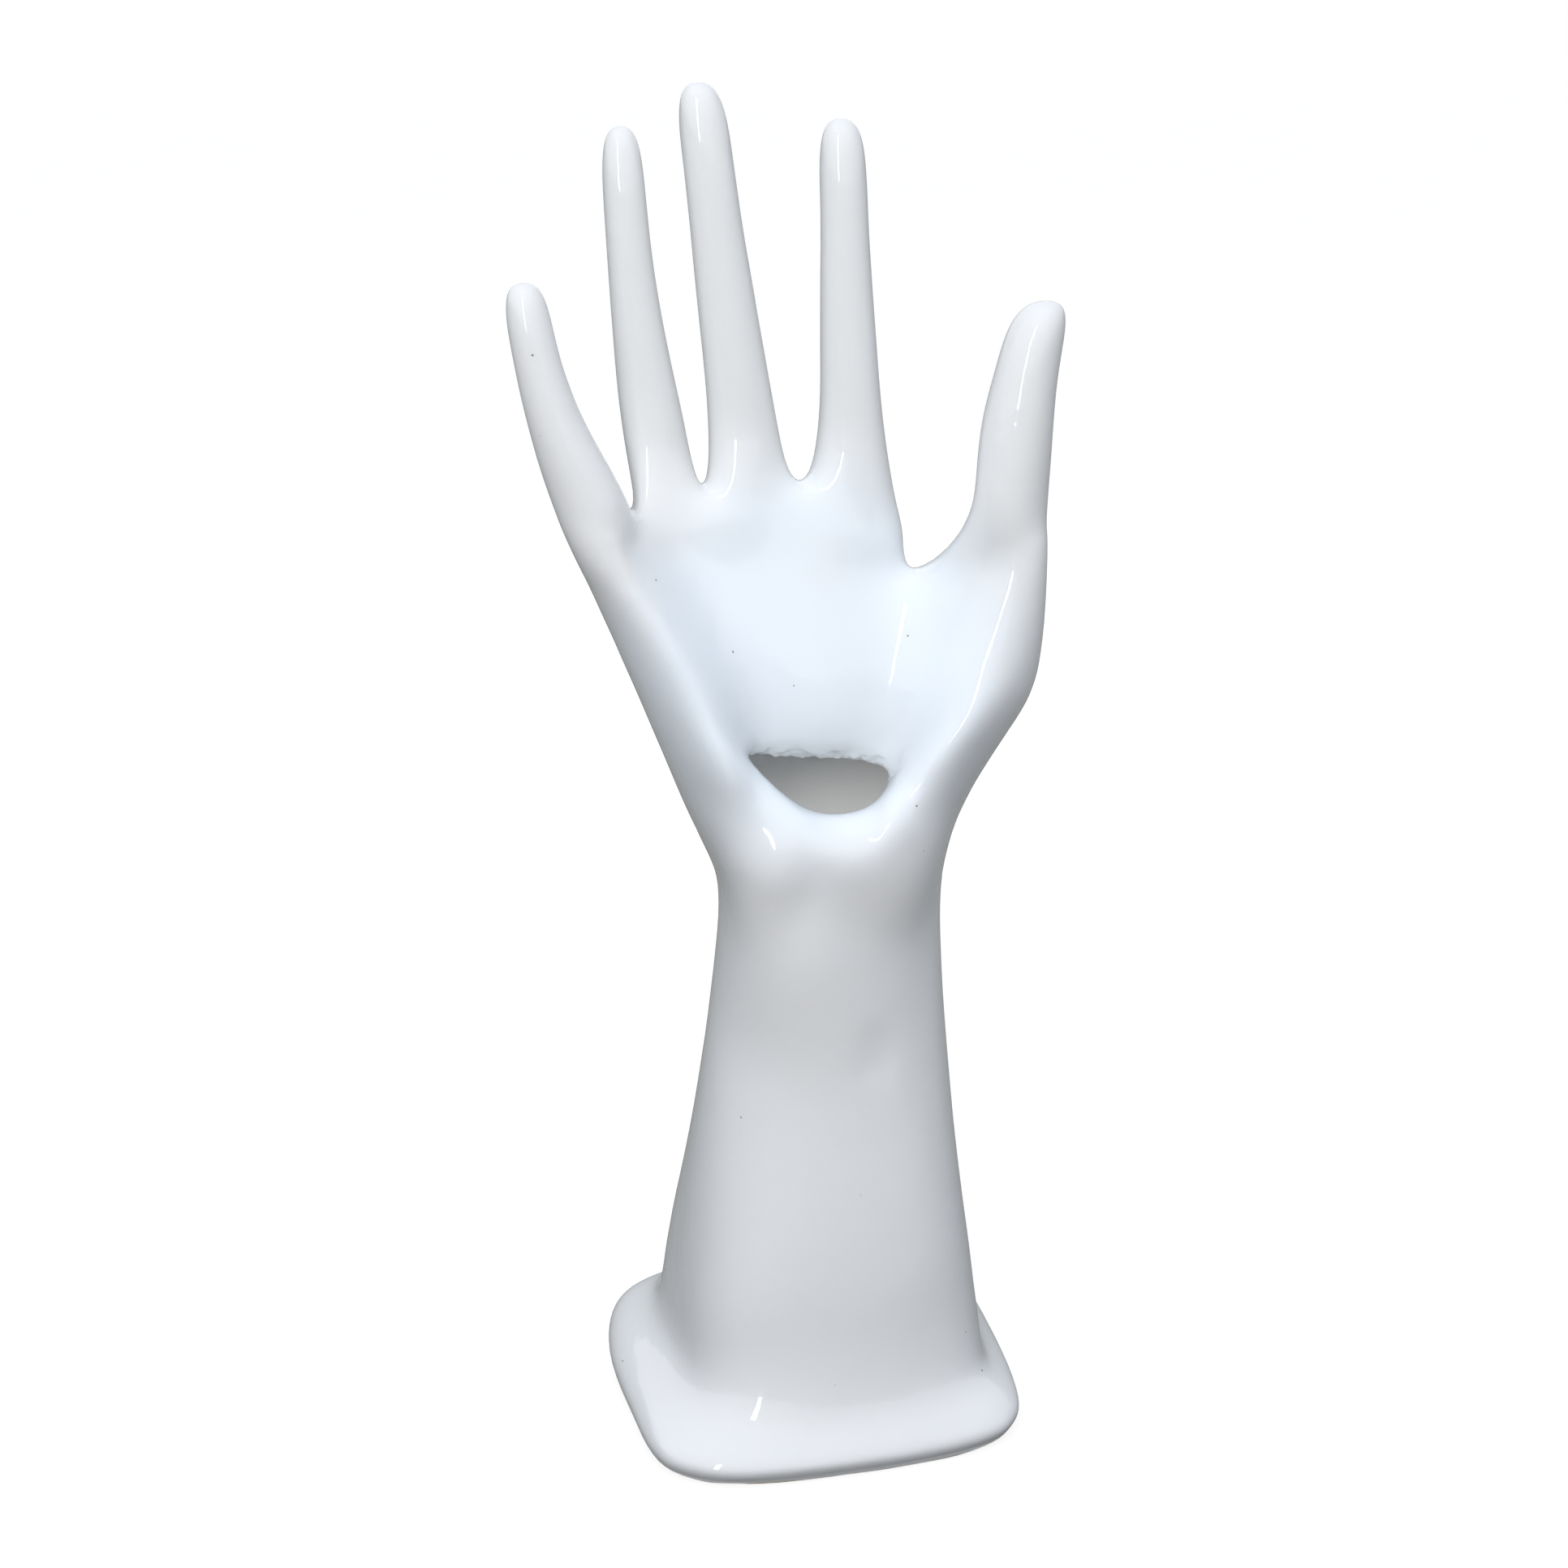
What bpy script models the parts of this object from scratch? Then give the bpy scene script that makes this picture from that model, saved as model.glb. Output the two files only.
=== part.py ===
"""Hand jewelry stand: a life-size right hand in glazed porcelain, slip cast in one piece.

The hand stands on a rounded square foot. Its forearm is hollow, and a pocket opens into it at
the heel of the palm: the little finger and the thumb run down either side of a dished palm and
meet in a thick U-shaped lip, while the palm itself rolls over into the hollow behind that lip.

The form is one cage of four-sided faces under a Subdivision Surface. Each section of the cage
is a ring of twelve points: six across the palm side from left to right, then six across the
back from right to left. The five spans between them are the columns of the little, ring, middle
and index fingers and the thumb, and each finger is drawn out of the top of its column.

Metres, +Z up. The palm faces -Y and the thumb is at +X. The origin is on the table, under the
middle of the whole piece, which the little finger puts a little to the left of the foot.
"""

from collections import namedtuple
from math import cos, radians, sin

import bmesh
import bpy
from mathutils import Matrix, Vector

# The hand is drawn on a grid of 180 squares from the middle of the wrist up to the fingertips
HAND_LENGTH = 0.180
GRID = HAND_LENGTH / 180

# Seen from above: the middle of the foot, and from there the middles of the arm's base and wrist
FOOT_CENTRE = Vector((0.0048, 0.0))
ARM_BASE_CENTRE = FOOT_CENTRE + Vector((0.0021, 0.0))
WRIST_CENTRE = FOOT_CENTRE + Vector((0.0048, 0.0045))

# Foot: a rounded square pad, a little turned against the hand and thinner towards the front
FOOT_WIDTH = 0.0872
FOOT_DEPTH = 0.0892
FOOT_HEIGHT = 0.0150
FOOT_FRONT_DROP = 0.0055
FOOT_TURN = radians(7)
FOOT_SQUARENESS = 3.9
FOOT_UNDERCUT = 0.0012
FOOT_SHOULDER = 0.0042
FOOT_RING_WIDTH = 0.0060
FOOT_RECESS = 0.0015

# The foot isn't quite even: it swells to the left at the front and to the right at the back. The
# shares are of the swelling to the left, for points of its ring
FOOT_SWELL = 0.0026
FOOT_SWELL_SHARES = {11: -0.3, 0: 1.0, 1: 0.55, 5: 0.3, 6: -0.8, 7: -1.2}

# The foot's side, from the table up: share of its height, undercuts and shoulders taken off its
# half size, and share of the front drop
FOOT_SIDE = (
    (0.00, 1.0, 0.0, 0.0),
    (0.18, 0.0, 0.0, 0.1),
    (0.55, -0.4, 0.0, 0.5),
    (0.97, 0.0, 1.0, 1.0),
)

# Forearm: an oval, waisted at the wrist, which sweeps forward where it runs into the foot
ARM_BASE_WIDTH = 0.0682
ARM_BASE_DEPTH = 0.0688
ARM_BASE_HEIGHT = 0.0310
ARM_FLARE = 0.0016
ARM_FLARE_HEIGHT = 0.0028
ARM_FRONT_FLARE = 0.0024
ARM_WAISTING = 0.0014
ARM_ROUNDNESS = 2.3
WRIST_WIDTH = 0.0498
WRIST_DEPTH = 0.0400
WRIST_HEIGHT = 0.1140

# Casting: the wall, the floor of the hollow and the thinner edge that rolls over into the mouth
WALL = 0.0042
FLOOR = 0.0050
PALM_EDGE = 0.0034
LIP_ROUNDING = 0.0034
EDGE_ROUNDING = 0.0031
HOLLOW_TOP_WALL = 0.0055
HOLLOW_TOP_DROP = 0.0060


def point(x, y, z):
    """A point of the hand, in grid squares right of, behind and above the middle of the wrist."""
    return Vector((x, y, z)) * GRID


# Sections through the hand, palm side then back, each from the little finger to the thumb
HEEL_FRONT = (
    point(-24.4, -13.6, 19), point(-14.8, -25.4, 25), point(-4.5, -27.2, 21.5),
    point(5.0, -27.2, 21.5), point(12.6, -25.8, 26), point(23.2, -13.4, 19),
)
HEEL_BACK = (
    point(-26.6, 4.0, 14), point(-18.5, 15.5, 14), point(-6.5, 20.0, 14),
    point(6.5, 20.0, 14), point(18.5, 15.5, 14), point(25.9, 4.0, 14),
)
LIP_FRONT = (
    point(-25.5, -24.5, 37), point(-17.0, -17.0, 38.5), point(-7.0, -19.5, 30.3),
    point(4.5, -19.5, 30.0), point(10.9, -17.0, 34.6), point(21.8, -21.5, 37),
)
LIP_BACK = (
    point(-32.6, 0.0, 27), point(-22.0, 16.5, 27), point(-8.0, 21.0, 27),
    point(7.0, 21.0, 27), point(21.0, 16.5, 27), point(31.2, -0.5, 27),
)
POCKET_FRONT = (
    point(-30.0, -24.0, 52), point(-18.4, -8.0, 41.0), point(-8.0, -5.5, 38.5),
    point(3.0, -5.5, 37.6), point(12.2, -8.5, 37.2), point(28.4, -22.4, 52),
)
POCKET_BACK = (
    point(-38.4, -2.5, 42), point(-26.0, 17.0, 41), point(-9.0, 21.8, 41),
    point(7.5, 21.8, 41), point(24.5, 17.0, 41), point(39.5, -3.0, 42),
)
DISH_FRONT = (
    point(-35.0, -22.0, 64), point(-21.5, -8.0, 56), point(-10.0, -8.8, 53.0),
    point(2.5, -8.8, 53.0), point(14.5, -8.6, 54), point(33.2, -19.8, 64),
)
DISH_BACK = (
    point(-44.0, -3.5, 56), point(-29.0, 16.5, 55), point(-10.0, 21.5, 55),
    point(7.0, 21.5, 55), point(26.0, 16.5, 55), point(44.8, -4.0, 56),
)
WEB_FRONT = (
    point(-43.5, -20.0, 78), point(-30.0, -4.5, 75), point(-18.0, -1.5, 76.0),
    point(0.0, -1.5, 76.0), point(19.8, 2.0, 74.8), point(37.5, -17.5, 78),
)
WEB_BACK = (
    point(-51.0, -4.0, 74), point(-36.5, 14.0, 74), point(-18.0, 20.0, 75),
    point(2.0, 20.0, 75), point(20.8, 14.5, 73.0), point(45.8, -4.0, 75),
)
KNUCKLE_FRONT = (
    point(-51.5, -17.0, 90), point(-40.8, -3.0, 90.3), point(-25.6, 5.8, 93.3),
    point(-5.0, 5.8, 93.0), point(13.6, 6.5, 91),
)
KNUCKLE_BACK = (
    point(-57.4, -5.0, 89), point(-41.0, 12.0, 90), point(-25.6, 17.2, 92.5),
    point(-5.0, 17.2, 92.3), point(13.6, 16.5, 91),
)

# Fingers: three places on the axis, how far the tip hooks away from it, the widths at the same
# three places, and the turn of the cage round the axis
Finger = namedtuple("Finger", "root middle tip hook widths turn")
LITTLE = Finger(point(-47.6, -9.0, 88.0), point(-59.0, -9.5, 115.0), point(-64.2, -9.0, 141.7),
                point(0, 2.0, 0), point(18.5, 11.8, 8.6), radians(40))
RING = Finger(point(-34.4, 12.5, 96.0), point(-40.0, 12.0, 134.0), point(-42.3, 12.0, 170.7),
              point(0, 2.5, 0), point(15.8, 10.9, 8.4), 0.0)
MIDDLE = Finger(point(-15.6, 12.5, 96.0), point(-21.2, 12.0, 138.0), point(-26.0, 12.0, 179.3),
                point(0, 2.5, 0), point(16.8, 12.6, 10.3), 0.0)
INDEX = Finger(point(6.8, 12.5, 95.0), point(5.1, 12.0, 133.0), point(3.9, 12.0, 171.7),
               point(0, 2.5, 0), point(16.5, 11.8, 9.8), 0.0)
THUMB = Finger(point(36.1, -7.2, 81.5), point(38.2, -7.0, 109.0), point(40.2, -7.0, 135.6),
               point(4.2, 2.5, 0), point(17.2, 15.5, 11.0), radians(-40))
FINGER_STATIONS = (0.16, 0.45, 0.72, 0.90)
FINGERTIP = 0.985
FINGERTIP_SHARE = 0.60

# How far the index finger's side of the palm draws in above the web of the thumb
INDEX_WAIST = 1.5 * GRID

# The mouth of the pocket takes up the spans of the ring, middle and index fingers on the palm side
MOUTH_SPANS = (1, 2, 3)
MOUTH_POINTS = (1, 2, 3, 4)

# A square of four points on a round finger: half its side for each unit of the finger's width
SQUARE_ON_ROUND = 0.3636
SMOOTHING_LEVELS = 2
FITTING_ROUNDS = 8

GLAZE_COLOUR = (0.80, 0.81, 0.83, 1.0)
GLAZE_ROUGHNESS = 0.06
SHARP_CREASE = 1.0


def clear_scene():
    """Take out whatever the file opened with."""
    for item in list(bpy.data.objects):
        bpy.data.objects.remove(item, do_unlink=True)


def oval(centre, width, depth, squareness, height, turn=0.0):
    """Twelve points of a superellipse, starting at the palm side on the left."""
    spin = Matrix.Rotation(turn, 2)
    ring = []
    for step in range(12):
        angle = radians(195 + 30 * step)
        across, along = cos(angle), sin(angle)
        flat = Vector((
            width / 2 * abs(across) ** (2 / squareness) * (1 if across > 0 else -1),
            depth / 2 * abs(along) ** (2 / squareness) * (1 if along > 0 else -1),
        ))
        place = Vector(centre) + spin @ flat
        ring.append(Vector((place.x, place.y, height)))
    return ring


def hand_ring(front, back):
    """A section through the hand, moved from the wrist to its place on the arm."""
    wrist = WRIST_CENTRE.to_3d() + Vector((0.0, 0.0, WRIST_HEIGHT))
    return [wrist + place for place in list(front) + list(reversed(back))]


def inset(ring, wall):
    """The ring moved inwards by the wall, square to each of its sides."""
    moved = []
    for index, place in enumerate(ring):
        before = (place - ring[index - 1]).xy.normalized()
        after = (ring[(index + 1) % len(ring)] - place).xy.normalized()
        inwards = Vector((-before.y - after.y, before.x + after.x)).normalized()
        reach = wall / inwards.dot(Vector((-before.y, before.x)))
        moved.append(place + Vector((inwards.x, inwards.y, 0.0)) * reach)
    return moved


def lowered(ring, drop, chosen=range(12)):
    """The ring with its chosen points moved down."""
    return [place - Vector((0.0, 0.0, drop if index in chosen else 0.0))
            for index, place in enumerate(ring)]


def level_ring(ring, height):
    """The ring laid flat at a height."""
    return [Vector((place.x, place.y, height)) for place in ring]


def sloped(ring, drop):
    """The ring tilted down towards the front, by the drop at the front of the foot."""
    return [place - Vector((0.0, 0.0, drop * (0.5 - place.y / FOOT_DEPTH))) for place in ring]


def foot_rings():
    """The foot from the table up: its dry ring, its side and the shoulder under the arm."""
    rings = []
    for share, undercuts, shoulders, slope in FOOT_SIDE:
        taken = 2 * (undercuts * FOOT_UNDERCUT + shoulders * FOOT_SHOULDER)
        ring = oval(FOOT_CENTRE, FOOT_WIDTH - taken, FOOT_DEPTH - taken, FOOT_SQUARENESS,
                    FOOT_HEIGHT * share, FOOT_TURN)
        for index, part in FOOT_SWELL_SHARES.items():
            ring[index].x -= FOOT_SWELL * part
        rings.append(sloped(ring, FOOT_FRONT_DROP * slope))
    return rings


def arm_rings():
    """The forearm: the flare over the foot, its base, its middle and the wrist."""
    base_roundness = (ARM_ROUNDNESS + FOOT_SQUARENESS) / 2
    flare = oval(ARM_BASE_CENTRE - Vector((0.0, ARM_FRONT_FLARE / 2)),
                 ARM_BASE_WIDTH + 2 * ARM_FLARE,
                 ARM_BASE_DEPTH + 2 * ARM_FLARE + ARM_FRONT_FLARE,
                 base_roundness, FOOT_HEIGHT + ARM_FLARE_HEIGHT, FOOT_TURN)
    base = oval(ARM_BASE_CENTRE, ARM_BASE_WIDTH, ARM_BASE_DEPTH, base_roundness,
                ARM_BASE_HEIGHT, FOOT_TURN)
    middle = oval((ARM_BASE_CENTRE + WRIST_CENTRE) / 2,
                  (ARM_BASE_WIDTH + WRIST_WIDTH) / 2 - ARM_WAISTING,
                  (ARM_BASE_DEPTH + WRIST_DEPTH) / 2 - ARM_WAISTING,
                  ARM_ROUNDNESS, (ARM_BASE_HEIGHT + WRIST_HEIGHT) / 2)
    wrist = oval(WRIST_CENTRE, WRIST_WIDTH, WRIST_DEPTH, ARM_ROUNDNESS, WRIST_HEIGHT)
    return [sloped(flare, FOOT_FRONT_DROP), sloped(base, FOOT_FRONT_DROP), middle, wrist]


def add_ring(bm, ring):
    return [bm.verts.new(place) for place in ring]


def band(bm, lower, upper, skipped=()):
    """Faces between two rings, apart from the spans that are left open."""
    count = len(lower)
    for index in range(count):
        if index not in skipped:
            after = (index + 1) % count
            bm.faces.new((lower[index], lower[after], upper[after], upper[index]))


def cap(bm, ring):
    """Close a ring of twelve with five faces, one for each column."""
    for column in range(5):
        bm.faces.new((ring[column], ring[column + 1], ring[10 - column], ring[11 - column]))


def finger_square(plan, station):
    """Four points round a finger at a share of its length, palm side left first."""
    before = 2 * (station - 0.5) * (station - 1)
    through = 4 * station * (1 - station)
    after = 2 * station * (station - 0.5)
    centre = WRIST_CENTRE.to_3d() + Vector((0.0, 0.0, WRIST_HEIGHT))
    centre += plan.root * before + plan.middle * through + plan.tip * after
    centre += plan.hook * station ** 4
    width = plan.widths.dot(Vector((before, through, after)))
    if station == FINGERTIP:
        width *= FINGERTIP_SHARE
    reach = width * SQUARE_ON_ROUND
    spin = Matrix.Rotation(plan.turn, 3, "Z")
    corners = ((-reach, -reach), (reach, -reach), (reach, reach), (-reach, reach))
    return [centre + spin @ Vector((x, y, 0.0)) for x, y in corners]


def finger(bm, root, plan):
    """Draw a finger up from the four points of its root: a square tube that smooths to round."""
    lower = root
    for station in FINGER_STATIONS + (FINGERTIP,):
        upper = add_ring(bm, finger_square(plan, station))
        band(bm, lower, upper)
        lower = upper
    bm.faces.new(lower)


def column_top(ring, column, last):
    """The four points of a column's top: palm side left and right, then back right and left."""
    return [ring[column], ring[column + 1], ring[last - column - 1], ring[last - column]]


def build_cage(bm):
    foot = foot_rings()
    arm = arm_rings()
    heel = hand_ring(HEEL_FRONT, HEEL_BACK)
    lip = hand_ring(LIP_FRONT, LIP_BACK)
    pocket = hand_ring(POCKET_FRONT, POCKET_BACK)
    dish = hand_ring(DISH_FRONT, DISH_BACK)
    web = hand_ring(WEB_FRONT, WEB_BACK)
    knuckle = hand_ring(KNUCKLE_FRONT, KNUCKLE_BACK)
    little_root = finger_square(LITTLE, 0.0)
    knuckle[0], knuckle[9] = little_root[0], little_root[3]
    thumb_root = finger_square(THUMB, 0.0)
    web[5], web[6] = thumb_root[1], thumb_root[2]

    # Underside: a recess inside the dry ring that the stand rests on
    recess = add_ring(bm, level_ring(inset(foot[0], FOOT_RING_WIDTH + FOOT_RECESS), FOOT_RECESS))
    ring_inside = add_ring(bm, inset(foot[0], FOOT_RING_WIDTH))
    outside = [add_ring(bm, ring) for ring in foot + arm + [heel, lip, pocket, dish, web]]
    cap(bm, recess)
    band(bm, recess, ring_inside)
    band(bm, ring_inside, outside[0])
    lip_level = len(foot) + len(arm) + 1
    for level in range(len(outside) - 1):
        band(bm, outside[level], outside[level + 1], MOUTH_SPANS if level == lip_level else ())

    # Palm above the web of the thumb: four columns, closed on the thumb's side
    web_points = outside[-1]
    palm_root = web_points[:5] + web_points[7:]
    knuckles = add_ring(bm, knuckle)
    middle = [(low.co + high.co) / 2 for low, high in zip(palm_root, knuckles)]
    for corner in middle[4:6]:
        corner.x -= INDEX_WAIST
    palm_middle = add_ring(bm, middle)
    band(bm, palm_root, palm_middle)
    band(bm, palm_middle, knuckles)
    finger(bm, column_top(web_points, 4, 11), THUMB)
    for column, plan in enumerate((LITTLE, RING, MIDDLE, INDEX)):
        finger(bm, column_top(knuckles, column, 9), plan)

    # Hollow: the same sections a wall further in, from the floor to a blind end behind the palm
    hollow = [
        level_ring(inset(arm[0], WALL * 2), FLOOR),
        inset(arm[1], WALL),
        inset(arm[3], WALL),
        inset(heel, WALL),
        lowered(inset(lip, WALL), LIP_ROUNDING, MOUTH_POINTS),
        lowered(inset(pocket, PALM_EDGE), -EDGE_ROUNDING, MOUTH_POINTS),
        inset(dish, WALL),
        lowered(inset(web, HOLLOW_TOP_WALL), HOLLOW_TOP_DROP),
    ]
    inside = [add_ring(bm, ring) for ring in hollow]
    cap(bm, inside[0])
    for level in range(len(inside) - 1):
        band(bm, inside[level], inside[level + 1], MOUTH_SPANS if level == 4 else ())
    cap(bm, inside[-1])

    # Mouth: the thickness of the wall between the outside and the hollow
    outer_low, outer_high = outside[lip_level], outside[lip_level + 1]
    inner_low, inner_high = inside[4], inside[5]
    outer_edge = outer_low[1:5] + outer_high[4:0:-1]
    inner_edge = inner_low[1:5] + inner_high[4:0:-1]
    band(bm, outer_edge, inner_edge)
    bmesh.ops.recalc_face_normals(bm, faces=bm.faces)
    return ring_inside, outside[0]


def crease_loop(bm, ring):
    """Keep a ring of edges sharp, so that the smoothing leaves what lies between two of them flat."""
    crease = bm.edges.layers.float.get("crease_edge") or bm.edges.layers.float.new("crease_edge")
    for index, corner in enumerate(ring):
        edge = bm.edges.get((corner, ring[(index + 1) % len(ring)]))
        edge[crease] = SHARP_CREASE


def smooth_place(corner, crease):
    """Where endless smoothing would leave a point of the cage."""
    sharp = [edge.other_vert(corner).co for edge in corner.link_edges if edge[crease] > 0]
    if sharp:
        return (corner.co * 4 + sharp[0] + sharp[1]) / 6
    count = len(corner.link_edges)
    near = sum((edge.other_vert(corner).co for edge in corner.link_edges), Vector())
    across = Vector()
    for loop in corner.link_loops:
        across += loop.link_loop_next.link_loop_next.vert.co
    return (corner.co * count * count + near * 4 + across) / (count * (count + 5))


def pass_through_points(bm):
    """Swell the cage until the smooth surface passes through the points it was drawn with."""
    crease = bm.edges.layers.float["crease_edge"]
    drawn = {corner: corner.co.copy() for corner in bm.verts}
    for _ in range(FITTING_ROUNDS):
        settled = {corner: smooth_place(corner, crease) for corner in bm.verts}
        for corner in bm.verts:
            corner.co += drawn[corner] - settled[corner]


def glaze():
    material = bpy.data.materials.new("glazed_porcelain")
    material.use_nodes = True
    shader = material.node_tree.nodes["Principled BSDF"]
    shader.inputs["Base Color"].default_value = GLAZE_COLOUR
    shader.inputs["Roughness"].default_value = GLAZE_ROUGHNESS
    shader.inputs["Metallic"].default_value = 0.0
    return material


def make_hand():
    mesh = bpy.data.meshes.new("hand")
    bm = bmesh.new()
    for ring in build_cage(bm):
        crease_loop(bm, ring)
    pass_through_points(bm)
    bm.to_mesh(mesh)
    bm.free()
    hand = bpy.data.objects.new("hand", mesh)
    bpy.context.scene.collection.objects.link(hand)
    smoothing = hand.modifiers.new("smoothing", "SUBSURF")
    smoothing.levels = SMOOTHING_LEVELS
    smoothing.render_levels = SMOOTHING_LEVELS
    mesh.shade_smooth()
    mesh.materials.append(glaze())
    return hand


clear_scene()
make_hand()
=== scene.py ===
import math

import bpy
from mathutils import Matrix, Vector


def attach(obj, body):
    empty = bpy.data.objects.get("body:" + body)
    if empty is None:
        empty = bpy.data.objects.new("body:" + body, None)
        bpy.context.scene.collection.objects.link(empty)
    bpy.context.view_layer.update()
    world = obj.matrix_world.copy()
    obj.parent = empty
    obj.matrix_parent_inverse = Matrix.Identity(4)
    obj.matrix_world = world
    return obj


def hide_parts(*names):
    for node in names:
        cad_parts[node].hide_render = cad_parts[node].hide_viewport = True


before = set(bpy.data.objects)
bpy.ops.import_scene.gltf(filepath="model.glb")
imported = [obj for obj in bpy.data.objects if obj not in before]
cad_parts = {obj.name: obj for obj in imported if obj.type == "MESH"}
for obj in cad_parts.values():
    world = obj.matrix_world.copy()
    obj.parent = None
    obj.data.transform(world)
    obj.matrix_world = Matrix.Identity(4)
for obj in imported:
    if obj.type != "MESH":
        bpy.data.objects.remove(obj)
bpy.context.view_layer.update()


# The view: the photograph was taken from a little left of the palm and 18 degrees above level,
# near enough for the foot to look wide. Its frame is square.
VIEW_TARGET = Vector((-0.0007, 0.0032, 0.145))
VIEW_AZIMUTH = math.radians(-8)
VIEW_ELEVATION = math.radians(18)
VIEW_DISTANCE = 0.60
LENS_MM = 63
SENSOR_MM = 36
NEAREST_SEEN = 0.01


def direction(azimuth, elevation):
    """The way from the hand to a thing at that azimuth (0 in front, plus right) and elevation."""
    level = math.cos(elevation)
    return Vector((math.sin(azimuth) * level, -math.cos(azimuth) * level, math.sin(elevation)))


def turned_to(place, target):
    """The rotation that points a camera or a lamp at place towards target."""
    return (target - place).to_track_quat("-Z", "Y").to_euler()


camera_place = VIEW_TARGET + direction(VIEW_AZIMUTH, VIEW_ELEVATION) * VIEW_DISTANCE
bpy.ops.object.camera_add(location=camera_place, rotation=turned_to(camera_place, VIEW_TARGET))
camera = bpy.context.object
camera.name = "view_camera"
camera.data.lens = LENS_MM
camera.data.sensor_width = SENSOR_MM
camera.data.clip_start = NEAREST_SEEN
bpy.context.scene.camera = camera


# The hand: foot, hollow forearm, palm, four fingers and thumb are one casting of white porcelain,
# slip cast in a plaster mould. Its torn edge at the mouth was left as it came, and the whole was
# dipped in clear glossy glaze, which has run smooth over it and wears thin only under the foot.
PORCELAIN_WHITE = "#E9E9E8"
# The palm's lighter, bluer white: partly thicker glaze, partly painted light from the sky that the palm
# faces.
THICK_GLAZE_AND_SKY_LIGHT = "#ECF2F7"
IRON_SPECK = "#877F76"
BARE_CLAY = "#CDBF9F"
MERGE_DISTANCE = 0.00001
QUAD_ANGLE = math.radians(60)

# The line of the torn edge over the mouth, and how wide and deep the tearing is
TORN_EDGE = [Vector(p) for p in (
    (-0.0088, -0.0028, 0.1536), (-0.0030, -0.0010, 0.1528), (0.0044, -0.0012, 0.1522),
    (0.0116, -0.0012, 0.1517), (0.0179, -0.0014, 0.1512), (0.0218, -0.0036, 0.1500),
)]
TORN_REACH = 0.0030
TORN_DEPTH = 0.0028
TORN_LENGTH = 0.0021
TORN_CUTS = 3

# The palm, where the slip has run smooth: its middle and its reach. It is evened out once before
# the hollows and swellings are pushed in, and once after.
PALM_MIDDLE = Vector((0.004, -0.003, 0.190))
PALM_REACH = 0.034
PALM_SMOOTHING = 30
PALM_SECOND_SMOOTHING = 60

# The cove between the forearm and the foot: how far out and how high it runs, and its reach,
# which is shorter on the outward side
COVE_OUT = 0.0365
COVE_HEIGHT = 0.016
COVE_REACH = 0.0125
COVE_OUTWARD = 1.6
COVE_SMOOTHING = 90

# The foot's rounded edge, where the mould's corners have run soft. The bands of the cove and of
# this edge are both evened out twice as far up as out.
ROLL_OUT = 0.0435
ROLL_HEIGHT = 0.010
ROLL_REACH = 0.0080
ROLL_SMOOTHING = 10
BAND_TALLNESS = 2

# Hollows and swellings left by the mould: place, reach across the surface, and push
DENTS = (
    # The dimple on the forearm
    (Vector((0.0165, -0.0190, 0.0915)), 0.0065, Vector((0, 0.00130, 0))),
    # The right end of the mouth's upper edge
    (Vector((0.0200, -0.0050, 0.1512)), 0.0055, Vector((0, 0, -0.0016))),
    # The palm under the middle finger and under the index finger
    (Vector((-0.0107, 0.0090, 0.2065)), 0.0190, Vector((0, -0.0036, 0))),
    (Vector((0.0135, 0.0090, 0.2060)), 0.0190, Vector((0, -0.0024, 0))),
    # The forearm under the lip, and the skin left of the lip
    (Vector((0.0020, -0.0155, 0.1150)), 0.0340, Vector((0, -0.0046, 0))),
    (Vector((-0.0140, -0.0140, 0.1330)), 0.0190, Vector((-0.0004, -0.0042, 0))),
    (Vector((-0.0060, -0.0215, 0.1340)), 0.0110, Vector((0, -0.0016, 0))),
    # The foot's left side
    (Vector((-0.0430, 0.0120, 0.0100)), 0.0340, Vector((-0.0020, 0.0004, 0))),
    # The skin right of the lip
    (Vector((0.0240, -0.0150, 0.1300)), 0.0180, Vector((0.0004, -0.0024, 0))),
    # The forearm's front again, from the lip to halfway down, and its left
    (Vector((0.0040, -0.0200, 0.0985)), 0.0360, Vector((0, -0.0028, 0))),
    (Vector((0.0040, -0.0220, 0.1180)), 0.0200, Vector((0, -0.0008, 0))),
    (Vector((-0.0130, -0.0110, 0.1140)), 0.0280, Vector((-0.0002, -0.0026, 0))),
    (Vector((-0.0170, -0.0150, 0.1220)), 0.0170, Vector((-0.0004, -0.0012, 0))),
)
GLAZE_WAVE_LENGTH = 0.024
GLAZE_WAVE_DEPTH = 0.00030
SMOOTHING_STEP = 0.5


def linear(colour, strength=1.0):
    """A hex colour as the linear values that a shader takes, dimmed to strength."""
    shares = [int(colour[i : i + 2], 16) / 255 for i in (1, 3, 5)]
    values = [s / 12.92 if s <= 0.04045 else ((s + 0.055) / 1.055) ** 2.4 for s in shares]
    return [value * strength for value in values] + [1.0]


def select_only(piece):
    """Selects that object alone and makes it the active one."""
    bpy.ops.object.select_all(action="DESELECT")
    piece.select_set(True)
    bpy.context.view_layer.objects.active = piece


def add_node(tree, kind, inputs=None, **settings):
    """A new node with its settings. Each input is a value or another node's output."""
    node = tree.nodes.new(kind)
    for name, value in settings.items():
        setattr(node, name, value)
    for key, value in (inputs or {}).items():
        if isinstance(value, bpy.types.NodeSocket):
            tree.links.new(value, node.inputs[key])
        else:
            node.inputs[key].default_value = value
    return node


def new_material(name):
    """An empty node material with that name, and its node tree."""
    material = bpy.data.materials.new(name)
    material.use_nodes = True
    material.node_tree.nodes.clear()
    return material, material.node_tree


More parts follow.
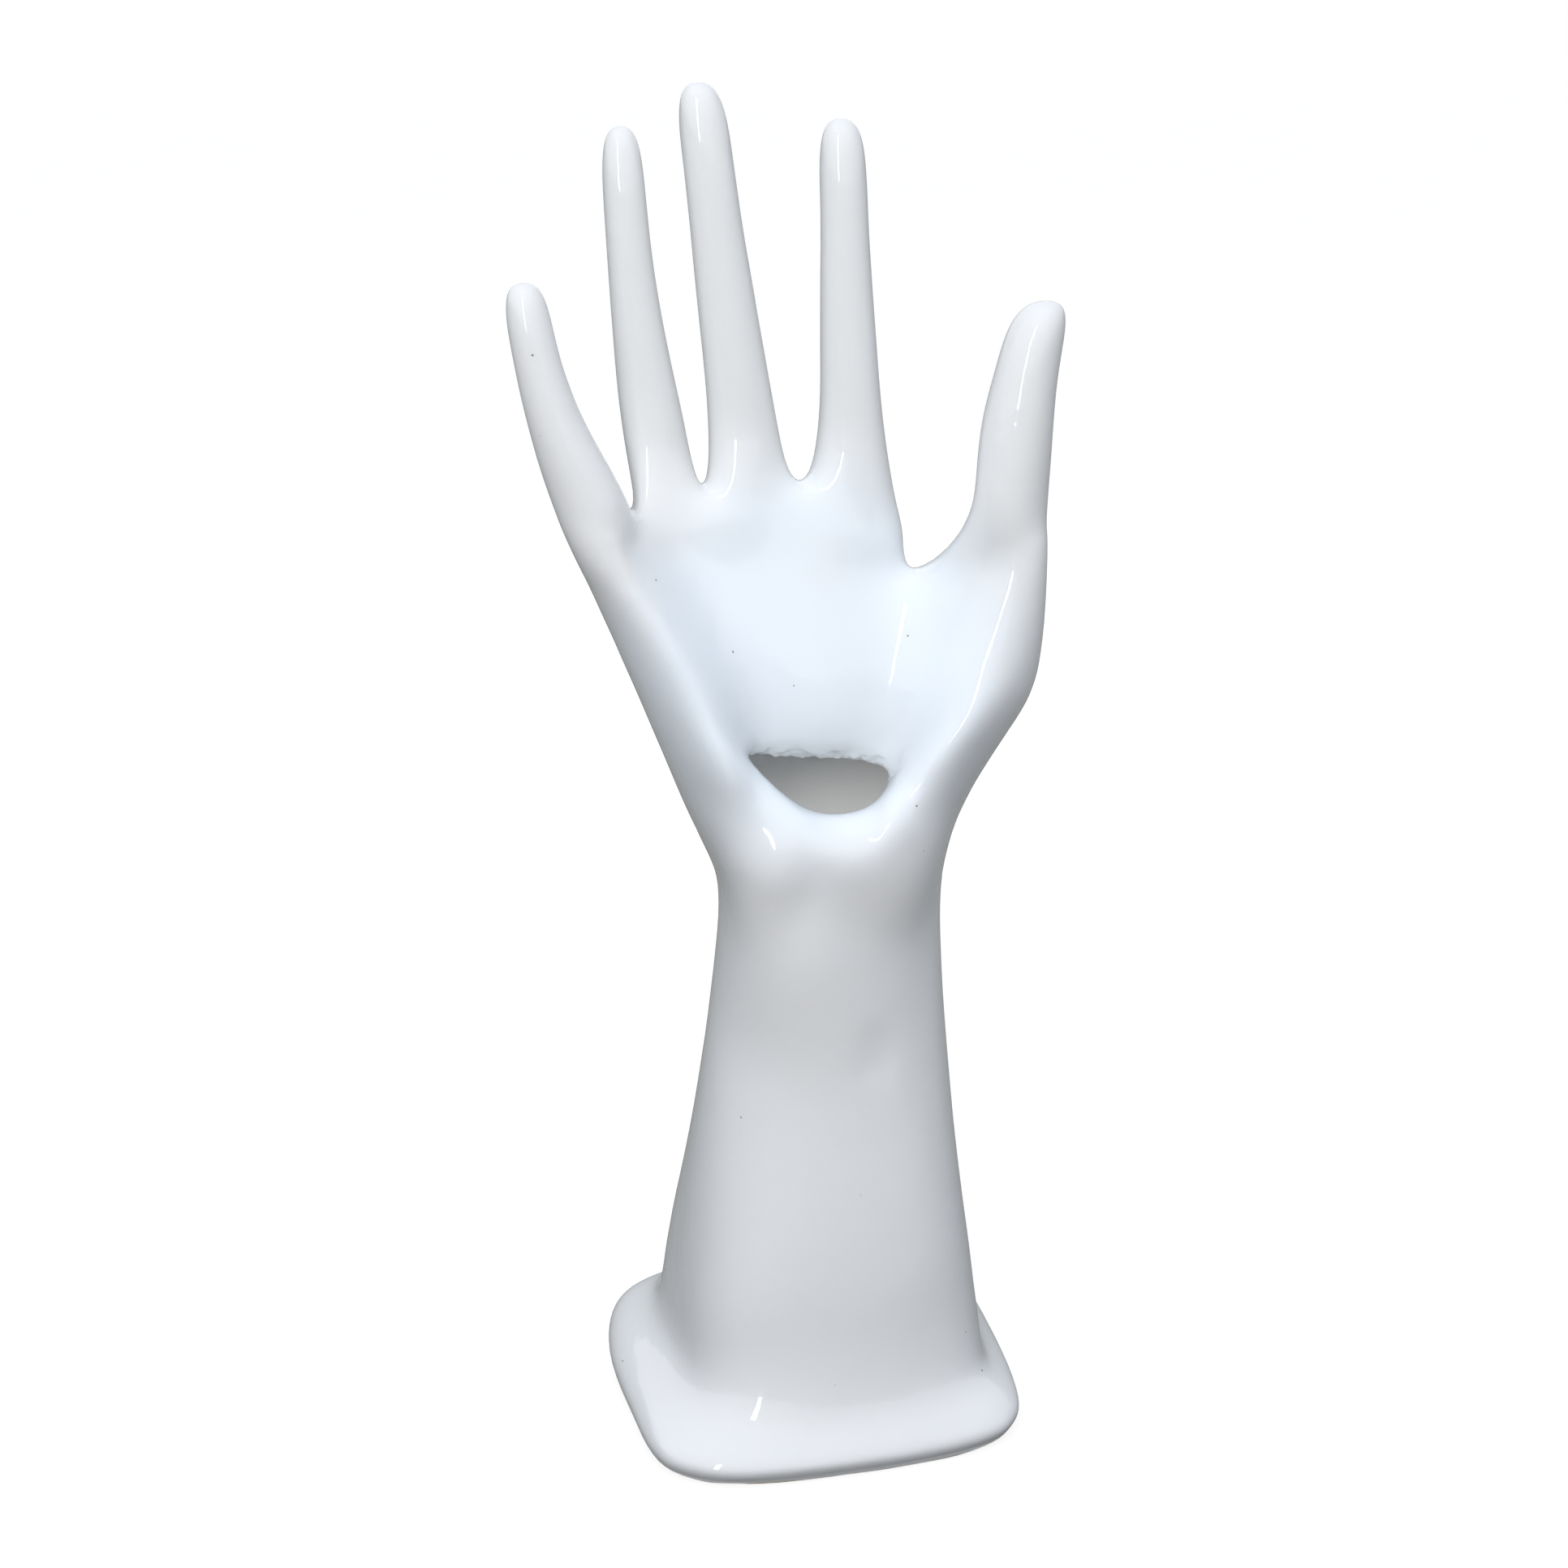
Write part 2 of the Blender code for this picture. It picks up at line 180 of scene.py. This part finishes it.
def glazed_copy(node, name):
    """A merged copy of a CAD node's mesh, with its triangles joined to quads."""
    piece = bpy.data.objects.new(name, node.data.copy())
    bpy.context.scene.collection.objects.link(piece)
    piece.data.materials.clear()
    select_only(piece)
    if piece.data.has_custom_normals:
        bpy.ops.mesh.customdata_custom_splitnormals_clear()
    bpy.ops.object.mode_set(mode="EDIT")
    bpy.ops.mesh.select_all(action="SELECT")
    bpy.ops.mesh.remove_doubles(threshold=MERGE_DISTANCE)
    bpy.ops.mesh.tris_convert_to_quads(face_threshold=QUAD_ANGLE, shape_threshold=QUAD_ANGLE)
    bpy.ops.object.mode_set(mode="OBJECT")
    return piece


def round_off(piece):
    """Rounds the facets off, with a Subdivision Surface modifier that is applied."""
    select_only(piece)
    rounding = piece.modifiers.new("rounding", "SUBSURF")
    rounding.levels = rounding.render_levels = 1
    bpy.ops.object.modifier_apply(modifier="rounding")
    bpy.ops.object.shade_smooth()


def distance_to_line(place, line):
    """How far a place is from a line through several points."""
    nearest = []
    for start, end in zip(line, line[1:]):
        share = max(0.0, min(1.0, (place - start).dot(end - start) / (end - start).length_squared))
        nearest.append((place - start.lerp(end, share)).length)
    return min(nearest)


def soft_group(piece, name, distance, reach):
    """A vertex group that fades out from 1 where distance is 0 to nothing at reach."""
    group = piece.vertex_groups.new(name=name)
    for vertex in piece.data.vertices:
        share = 1 - distance(vertex.co) / reach
        if share > 0:
            group.add([vertex.index], share * share * (3 - 2 * share), "REPLACE")
    return group.name


def finer_mesh(piece, distance, reach, cuts):
    """Cuts the faces within reach smaller."""
    select_only(piece)
    for polygon in piece.data.polygons:
        polygon.select = distance(polygon.center) < reach
    bpy.ops.object.mode_set(mode="EDIT")
    bpy.ops.mesh.select_mode(type="FACE")
    bpy.ops.mesh.subdivide(number_cuts=cuts, smoothness=1.0)
    bpy.ops.object.mode_set(mode="OBJECT")


def displaced(piece, name, length, depth, along="NORMAL", level=0.5, group=""):
    """Moves the surface by a cloud pattern, with a Displace modifier that is applied."""
    pattern = bpy.data.textures.new(name, "CLOUDS")
    pattern.noise_scale = length
    pattern.noise_depth = 1
    modifier = piece.modifiers.new(name, "DISPLACE")
    modifier.texture = pattern
    modifier.texture_coords = "LOCAL"
    modifier.direction = along
    modifier.strength = depth
    modifier.mid_level = level
    modifier.vertex_group = group
    select_only(piece)
    bpy.ops.object.modifier_apply(modifier=name)


def smoothed(piece, group, repeats):
    """Evens the surface out inside a vertex group."""
    modifier = piece.modifiers.new("smoothing", "SMOOTH")
    modifier.factor = SMOOTHING_STEP
    modifier.iterations = repeats
    modifier.vertex_group = group
    select_only(piece)
    bpy.ops.object.modifier_apply(modifier="smoothing")


def push(piece, place, reach, move):
    """Pushes the skin at a place, fading out over the surface round it, as a thumb would."""
    select_only(piece)
    bpy.ops.object.mode_set(mode="EDIT")
    bpy.ops.mesh.select_mode(type="VERT")
    bpy.ops.mesh.select_all(action="DESELECT")
    bpy.ops.object.mode_set(mode="OBJECT")
    nearest = min(piece.data.vertices, key=lambda vertex: (vertex.co - place).length)
    nearest.select = True
    bpy.ops.object.mode_set(mode="EDIT")
    bpy.ops.transform.translate(
        value=move,
        use_proportional_edit=True,
        use_proportional_connected=True,
        proportional_edit_falloff="SMOOTH",
        proportional_size=reach,
    )
    bpy.ops.object.mode_set(mode="OBJECT")


def from_torn_edge(place):
    """How far a place is from the torn edge over the mouth."""
    return distance_to_line(place, TORN_EDGE)


def from_palm(place):
    """How far a place is from the middle of the palm."""
    return (place - PALM_MIDDLE).length


def outward(place):
    """How far out a place stands, where the lines of equal distance are rounded squares."""
    return (place.x**4 + place.y**4) ** 0.25


def from_cove(place):
    """How far a place is from the cove, which runs round the forearm as a rounded square."""
    beyond = outward(place) - COVE_OUT
    if beyond > 0:
        beyond = beyond * COVE_OUTWARD
    return math.hypot(beyond, (place.z - COVE_HEIGHT) / BAND_TALLNESS)


def from_roll(place):
    """How far a place is from the foot's rounded edge, which is a larger rounded square."""
    return math.hypot(outward(place) - ROLL_OUT, (place.z - ROLL_HEIGHT) / BAND_TALLNESS)


hand = glazed_copy(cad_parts["hand"], "glazed_hand")
smoothed(hand, soft_group(hand, "palm", from_palm, PALM_REACH), PALM_SMOOTHING)
smoothed(hand, soft_group(hand, "cove", from_cove, COVE_REACH), COVE_SMOOTHING)
smoothed(hand, soft_group(hand, "roll", from_roll, ROLL_REACH), ROLL_SMOOTHING)
round_off(hand)
displaced(hand, "glaze_waves", GLAZE_WAVE_LENGTH, GLAZE_WAVE_DEPTH, level=1.0)
for place, reach, move in DENTS:
    push(hand, place, reach, move)
smoothed(hand, soft_group(hand, "palm_again", from_palm, PALM_REACH), PALM_SECOND_SMOOTHING)
finer_mesh(hand, from_torn_edge, TORN_REACH, TORN_CUTS)
torn = soft_group(hand, "torn_edge", from_torn_edge, TORN_REACH)
displaced(hand, "torn_edge", TORN_LENGTH, TORN_DEPTH, along="Z", group=torn)
for vertex in hand.data.vertices:
    vertex.co.z = max(vertex.co.z, 0)


# The glaze. Its orange peel is about 2 mm from crest to crest, too fine to show at this distance, so
# it is drawn at 5 mm. The specks and the dry edge are drawn at their real size.
MM = 0.001
POOL_MIDDLE = (0.004, -0.008, 0.176)
POOL_INSIDE = 28 * MM
POOL_OUTSIDE = 52 * MM
POOL_SIZE = 30 * MM
POOL_DETAIL = 2.0
POOL_LEAST = 0.4
PEEL_SIZE = 5 * MM
PEEL_DETAIL = 2.5
PEEL_DEPTH = 0.09 * MM
SPECK_SPACING = 8 * MM
SPECK_RADIUS = 0.36 * MM
SPECK_RIM = 0.3 * SPECK_RADIUS
SPECK_SHARE = 0.75
DRY_EDGE_HEIGHT = 0.7 * MM
DRY_EDGE_WAVER = 3.0 * MM
DRY_EDGE_LENGTH = 40 * MM
DRY_EDGE_DETAIL = 2.0
GLAZE_IOR = 1.5
GLAZE_ROUGHNESS = 0.05
CLAY_ROUGHNESS = 0.75
SCATTER_SHARE = 0.2
SCATTER_DEPTH = 2 * MM
SCATTER_TINT = (1.0, 0.95, 0.85)


def glaze_pool_and_sky_light(tree, place):
    """How strongly the palm and the lip take the lighter, bluer colour: partly thicker glaze in the
    hollow of the palm and on the lip, partly painted light from the sky that the palm faces, and uneven.
    """
    away = add_node(tree, "ShaderNodeVectorMath", {0: place, 1: POOL_MIDDLE}, operation="DISTANCE")
    hollow = add_node(
        tree,
        "ShaderNodeMapRange",
        {"Value": away.outputs["Value"], "From Min": POOL_OUTSIDE, "From Max": POOL_INSIDE},
        interpolation_type="SMOOTHSTEP",
    )
    clouds = add_node(
        tree,
        "ShaderNodeTexNoise",
        {"Vector": place, "Scale": 1 / POOL_SIZE, "Detail": POOL_DETAIL},
    )
    uneven = add_node(tree, "ShaderNodeMath", {0: clouds.outputs["Fac"], 1: POOL_LEAST}, operation="ADD")
    return add_node(
        tree,
        "ShaderNodeMath",
        {0: hollow.outputs["Result"], 1: uneven.outputs["Value"]},
        operation="MULTIPLY",
    ).outputs["Value"]


def iron_specks(tree, place):
    """1 in a speck. One stands in some of the cells of a Voronoi pattern, each of its own size."""
    cells = add_node(tree, "ShaderNodeTexVoronoi", {"Vector": place, "Scale": 1 / SPECK_SPACING})
    chance = add_node(tree, "ShaderNodeSeparateColor", {"Color": cells.outputs["Color"]})
    radius = add_node(
        tree,
        "ShaderNodeMath",
        {0: chance.outputs["Green"], 1: SPECK_RADIUS / SPECK_SPACING},
        operation="MULTIPLY",
    )
    there = add_node(
        tree,
        "ShaderNodeMath",
        {0: chance.outputs["Red"], 1: SPECK_SHARE},
        operation="LESS_THAN",
    )
    inside = add_node(
        tree,
        "ShaderNodeMath",
        {0: radius.outputs["Value"], 1: cells.outputs["Distance"]},
        operation="SUBTRACT",
    )
    rim = add_node(
        tree,
        "ShaderNodeMath",
        {0: inside.outputs["Value"], 1: SPECK_SPACING / SPECK_RIM},
        operation="MULTIPLY",
    )
    spot = add_node(tree, "ShaderNodeClamp", {"Value": rim.outputs["Value"]})
    return add_node(
        tree,
        "ShaderNodeMath",
        {0: spot.outputs["Result"], 1: there.outputs["Value"]},
        operation="MULTIPLY",
    ).outputs["Value"]


def dry_edge(tree, place):
    """1 under a wavering line low on the foot, where the glaze was wiped off."""
    height = add_node(tree, "ShaderNodeSeparateXYZ", {"Vector": place})
    clouds = add_node(
        tree,
        "ShaderNodeTexNoise",
        {"Vector": place, "Scale": 1 / DRY_EDGE_LENGTH, "Detail": DRY_EDGE_DETAIL},
    )
    sway = add_node(tree, "ShaderNodeMath", {0: clouds.outputs["Fac"], 1: 0.5}, operation="SUBTRACT")
    waver = add_node(
        tree,
        "ShaderNodeMath",
        {0: sway.outputs["Value"], 1: DRY_EDGE_WAVER},
        operation="MULTIPLY",
    )
    line = add_node(
        tree,
        "ShaderNodeMath",
        {0: height.outputs["Z"], 1: waver.outputs["Value"]},
        operation="ADD",
    )
    return add_node(
        tree,
        "ShaderNodeMapRange",
        {"Value": line.outputs["Value"], "From Min": DRY_EDGE_HEIGHT, "From Max": DRY_EDGE_HEIGHT / 2},
    ).outputs["Result"]


def glazed_porcelain():
    """Glossy transparent glaze fused on white porcelain by firing: sharp highlights, broken a little
    by the glaze's orange peel, over a milky white that turns lighter and faintly blue in the palm and on
    the lip, partly where the glaze pooled and partly as painted light from the sky that the palm faces.
    Iron in the clay gives a few grey-brown specks, each in a pinhole. The edge that stood on the
    kiln shelf was wiped, so dry cream clay shows there."""
    material, tree = new_material("clear_glaze_on_white_porcelain")
    place = add_node(tree, "ShaderNodeTexCoord").outputs["Object"]
    specks = iron_specks(tree, place)
    dry = dry_edge(tree, place)
    colour = linear(PORCELAIN_WHITE)
    for share, covering in (
        (glaze_pool_and_sky_light(tree, place), THICK_GLAZE_AND_SKY_LIGHT),
        (specks, IRON_SPECK),
        (dry, BARE_CLAY),
    ):
        layers = {"Factor": share, "A": colour, "B": linear(covering)}
        colour = add_node(tree, "ShaderNodeMix", layers, data_type="RGBA").outputs["Result"]
    roughness = add_node(
        tree,
        "ShaderNodeMix",
        {"Factor": dry, "A": GLAZE_ROUGHNESS, "B": CLAY_ROUGHNESS},
        data_type="FLOAT",
    )
    peel = add_node(
        tree,
        "ShaderNodeTexNoise",
        {"Vector": place, "Scale": 1 / PEEL_SIZE, "Detail": PEEL_DETAIL},
    )
    relief = add_node(tree, "ShaderNodeMath", {0: peel.outputs["Fac"], 1: specks}, operation="SUBTRACT")
    bump = add_node(
        tree,
        "ShaderNodeBump",
        {"Height": relief.outputs["Value"], "Distance": PEEL_DEPTH, "Strength": 1.0},
    )
    shader = add_node(
        tree,
        "ShaderNodeBsdfPrincipled",
        {
            "Base Color": colour,
            "Roughness": roughness.outputs["Result"],
            "Normal": bump.outputs["Normal"],
            "IOR": GLAZE_IOR,
            "Subsurface Weight": SCATTER_SHARE,
            "Subsurface Scale": SCATTER_DEPTH,
            "Subsurface Radius": SCATTER_TINT,
        },
    )
    add_node(tree, "ShaderNodeOutputMaterial", {"Surface": shader.outputs["BSDF"]})
    return material


hand.data.materials.append(glazed_porcelain())
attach(hand, "root")
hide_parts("hand")


# The floor: a wide sheet of pale matt paper under the foot, which takes only the hand's shadow.
FLOOR_WIDTH = 8.0
PAPER = "#E2DED8"
# Painted shade: round the foot the paper is drawn darker in the light it gives back, fading out between
# SHADED_WITHIN and BRIGHT_BEYOND.
SHADED_PAPER = "#606063"
SHADED_WITHIN = 0.28
BRIGHT_BEYOND = 0.70
PAPER_GLOW = 0.86
PAPER_SHADING = 0.26


def background_rays(tree):
    """1 for the rays that should meet the white background, and 0 for those that light the hand."""
    path = add_node(tree, "ShaderNodeLightPath")
    seen = add_node(
        tree,
        "ShaderNodeMath",
        {0: path.outputs["Is Camera Ray"], 1: path.outputs["Is Transmission Ray"]},
        operation="MAXIMUM",
    )
    return add_node(
        tree,
        "ShaderNodeMath",
        {0: seen.outputs["Value"], 1: path.outputs["Is Glossy Ray"]},
        operation="MAXIMUM",
    ).outputs["Value"]


def matt_paper():
    """Uncoated matt paper: lit and shadowed without any shine, and shown to the camera as white.
    Round the foot it is painted darker, a painted shade like that on the ground under the photographer,
    so it gives back less light there."""
    material, tree = new_material("matt_paper_sweep")
    place = add_node(tree, "ShaderNodeTexCoord").outputs["Object"]
    away = add_node(tree, "ShaderNodeVectorMath", {0: place}, operation="LENGTH").outputs["Value"]
    share = add_node(
        tree,
        "ShaderNodeMapRange",
        {"Value": away, "From Min": SHADED_WITHIN, "From Max": BRIGHT_BEYOND},
    ).outputs["Result"]
    tone = add_node(
        tree,
        "ShaderNodeMix",
        {"Factor": share, "A": linear(SHADED_PAPER), "B": linear(PAPER)},
        data_type="RGBA",
    ).outputs["Result"]
    lit = add_node(tree, "ShaderNodeBsdfDiffuse", {"Color": tone})
    shade = add_node(tree, "ShaderNodeBsdfDiffuse", {"Color": linear(PAPER, PAPER_SHADING)})
    glow = add_node(tree, "ShaderNodeEmission", {"Strength": PAPER_GLOW})
    both = {0: shade.outputs["BSDF"], 1: glow.outputs["Emission"]}
    seen = add_node(tree, "ShaderNodeAddShader", both)
    either = add_node(
        tree,
        "ShaderNodeMixShader",
        {0: background_rays(tree), 1: lit.outputs["BSDF"], 2: seen.outputs["Shader"]},
    )
    add_node(tree, "ShaderNodeOutputMaterial", {"Surface": either.outputs["Shader"]})
    return material


bpy.ops.object.select_all(action="DESELECT")
bpy.ops.mesh.primitive_plane_add(size=FLOOR_WIDTH, location=(0, 0, 0))
floor = bpy.context.object
floor.name = "paper_floor"
floor.data.materials.append(matt_paper())


# The surroundings that the glaze reflects: a wide shallow bowl of glowing grey card under and round the
# stand, which only reflections see, darker on the left as the garden there was. It draws the pale
# hand's edges against the white background.
CARD_RADIUS = 1.6
CARD_TOP = 0.36
CARD_LIFT = 0.0005
CARD_LEFT = "#71776F"
CARD_RIGHT = "#A3A3A0"
CARD_TURN = 0.5
CARD_FACETS = 64


def grey_card():
    """Grey card that glows with its own colour, as a lamp would, darker and a little green on the left,
    and as bright as its colour says.
    """
    material, tree = new_material("glowing_grey_card")
    place = add_node(tree, "ShaderNodeTexCoord").outputs["Object"]
    across = add_node(tree, "ShaderNodeSeparateXYZ", {"Vector": place}).outputs["X"]
    share = add_node(
        tree,
        "ShaderNodeMapRange",
        {"Value": across, "From Min": -CARD_TURN, "From Max": CARD_TURN},
        interpolation_type="SMOOTHSTEP",
    )
    tone = add_node(
        tree,
        "ShaderNodeMix",
        {"Factor": share.outputs["Result"], "A": linear(CARD_LEFT), "B": linear(CARD_RIGHT)},
        data_type="RGBA",
    )
    glow = add_node(tree, "ShaderNodeEmission", {"Color": tone.outputs["Result"], "Strength": 1.0})
    add_node(tree, "ShaderNodeOutputMaterial", {"Surface": glow.outputs["Emission"]})
    return material


bpy.ops.object.select_all(action="DESELECT")
card_centre = Vector((0, 0, CARD_RADIUS + CARD_LIFT))
bpy.ops.mesh.primitive_uv_sphere_add(
    segments=CARD_FACETS, ring_count=CARD_FACETS, radius=CARD_RADIUS, location=card_centre
)
cards = bpy.context.object
cards.name = "grey_cards"
bpy.ops.object.transform_apply(location=True, rotation=False, scale=False)
bpy.ops.object.mode_set(mode="EDIT")
bpy.ops.mesh.select_all(action="SELECT")
bpy.ops.mesh.bisect(plane_co=(0, 0, CARD_TOP), plane_no=(0, 0, 1), clear_outer=True)
bpy.ops.object.mode_set(mode="OBJECT")
cards.data.materials.append(grey_card())
cards.visible_camera = False
cards.visible_diffuse = False
cards.visible_transmission = False
cards.visible_volume_scatter = False
cards.visible_shadow = False


# The light: an overcast sky that fades towards eye level and is brightest high in front, a little
# left, and one narrow softbox on the left, which draws the thin bright lines on the fingers, the
# lip and the foot. Three lamps that no reflection shows lift the palm, the back and the hollow.
SKY_TOP = "#E2ECFC"
SKY_TOP_STRENGTH = 1.00
SKY_LEVEL = "#3F4042"
SEEN_WHITE = (1.0, 1.0, 1.0, 1.0)
BRIGHT_AZIMUTH = math.radians(-14)
BRIGHT_ELEVATION = math.radians(50)
BRIGHT_STRENGTH = 0.9
BRIGHT_EDGE = math.cos(math.radians(42))
BRIGHT_MIDDLE = math.cos(math.radians(10))
BOX_AZIMUTH = math.radians(-27)
BOX_ELEVATION = math.radians(29)
BOX_DISTANCE = 1.30
BOX_WIDTH = 0.12
BOX_HEIGHT = 1.10
BOX_RADIANCE = 9.6
NEAR_AZIMUTH = math.radians(-8)
NEAR_ELEVATION = math.radians(38)
NEAR_DISTANCE = 0.50
NEAR_WIDTH = 0.45
NEAR_HEIGHT = 0.35
NEAR_RADIANCE = 1.15
REAR_AZIMUTH = math.radians(172)
REAR_ELEVATION = math.radians(25)
REAR_DISTANCE = 0.9
REAR_WIDTH = 0.9
REAR_HEIGHT = 0.7
REAR_RADIANCE = 1.5


def overcast_sky():
    """A world whose light fades from the zenith to eye level and swells round the bright part."""
    world = bpy.data.worlds.new("studio")
    world.use_nodes = True
    tree = world.node_tree
    tree.nodes.clear()
    way = add_node(tree, "ShaderNodeTexCoord").outputs["Generated"]
    up = add_node(tree, "ShaderNodeSeparateXYZ", {"Vector": way}).outputs["Z"]
    height = add_node(tree, "ShaderNodeClamp", {"Value": up}).outputs["Result"]
    sky = add_node(
        tree,
        "ShaderNodeMix",
        {"Factor": height, "A": linear(SKY_LEVEL), "B": linear(SKY_TOP, SKY_TOP_STRENGTH)},
        data_type="RGBA",
    )
    bright_way = direction(BRIGHT_AZIMUTH, BRIGHT_ELEVATION)
    near = add_node(tree, "ShaderNodeVectorMath", {0: way, 1: bright_way}, operation="DOT_PRODUCT")
    swell = add_node(
        tree,
        "ShaderNodeMapRange",
        {
            "Value": near.outputs["Value"],
            "From Min": BRIGHT_EDGE,
            "From Max": BRIGHT_MIDDLE,
            "To Max": BRIGHT_STRENGTH,
        },
        interpolation_type="SMOOTHSTEP",
    )
    lighting = add_node(
        tree,
        "ShaderNodeMix",
        {"Factor": 1.0, "A": sky.outputs["Result"], "B": swell.outputs["Result"]},
        data_type="RGBA",
        blend_type="ADD",
    ).outputs["Result"]
    lit_or_seen = {"Factor": background_rays(tree), "A": lighting, "B": SEEN_WHITE}
    shown = add_node(tree, "ShaderNodeMix", lit_or_seen, data_type="RGBA")
    light = add_node(tree, "ShaderNodeBackground", {"Color": shown.outputs["Result"], "Strength": 1.0})
    add_node(tree, "ShaderNodeOutputWorld", {"Surface": light.outputs["Background"]})
    return world


bpy.context.scene.world = overcast_sky()


def softbox(name, azimuth, elevation, distance, width, height, radiance):
    """A rectangular lamp turned to the middle of the hand, as bright as radiance on its face."""
    place = VIEW_TARGET + direction(azimuth, elevation) * distance
    bpy.ops.object.light_add(type="AREA", location=place, rotation=turned_to(place, VIEW_TARGET))
    lamp = bpy.context.object
    lamp.name = name
    lamp.data.shape = "RECTANGLE"
    lamp.data.size = width
    lamp.data.size_y = height
    lamp.data.energy = radiance * math.pi * width * height
    return lamp


softbox("narrow_softbox", BOX_AZIMUTH, BOX_ELEVATION, BOX_DISTANCE, BOX_WIDTH, BOX_HEIGHT, BOX_RADIANCE)

# The near one stands closer to the palm and fingers than to the foot, so it lights them more. Its
# own reflection would draw a hard rectangle in the palm, where the sky's soft one belongs.
near = softbox(
    "near_softbox", NEAR_AZIMUTH, NEAR_ELEVATION, NEAR_DISTANCE, NEAR_WIDTH, NEAR_HEIGHT, NEAR_RADIANCE
)
near.visible_glossy = False

# The rear one lights only the back of the hand, as plainly as the others light the front
rear = softbox(
    "rear_softbox", REAR_AZIMUTH, REAR_ELEVATION, REAR_DISTANCE, REAR_WIDTH, REAR_HEIGHT, REAR_RADIANCE
)
rear.visible_glossy = False

# The real wall is thin enough for daylight to come through it. The modelled one is solid, so a
# weak lamp in the hollow gives the inside behind the mouth that light.
HOLLOW_PLACE = (0.0, 0.0, 0.105)
HOLLOW_RADIUS = 0.008
HOLLOW_ENERGY = 0.008
bpy.ops.object.light_add(type="POINT", location=HOLLOW_PLACE)
hollow_glow = bpy.context.object
hollow_glow.name = "light_through_the_wall"
hollow_glow.data.shadow_soft_size = HOLLOW_RADIUS
hollow_glow.data.energy = HOLLOW_ENERGY
hollow_glow.visible_glossy = False


bpy.context.scene.view_settings.view_transform = "Standard"
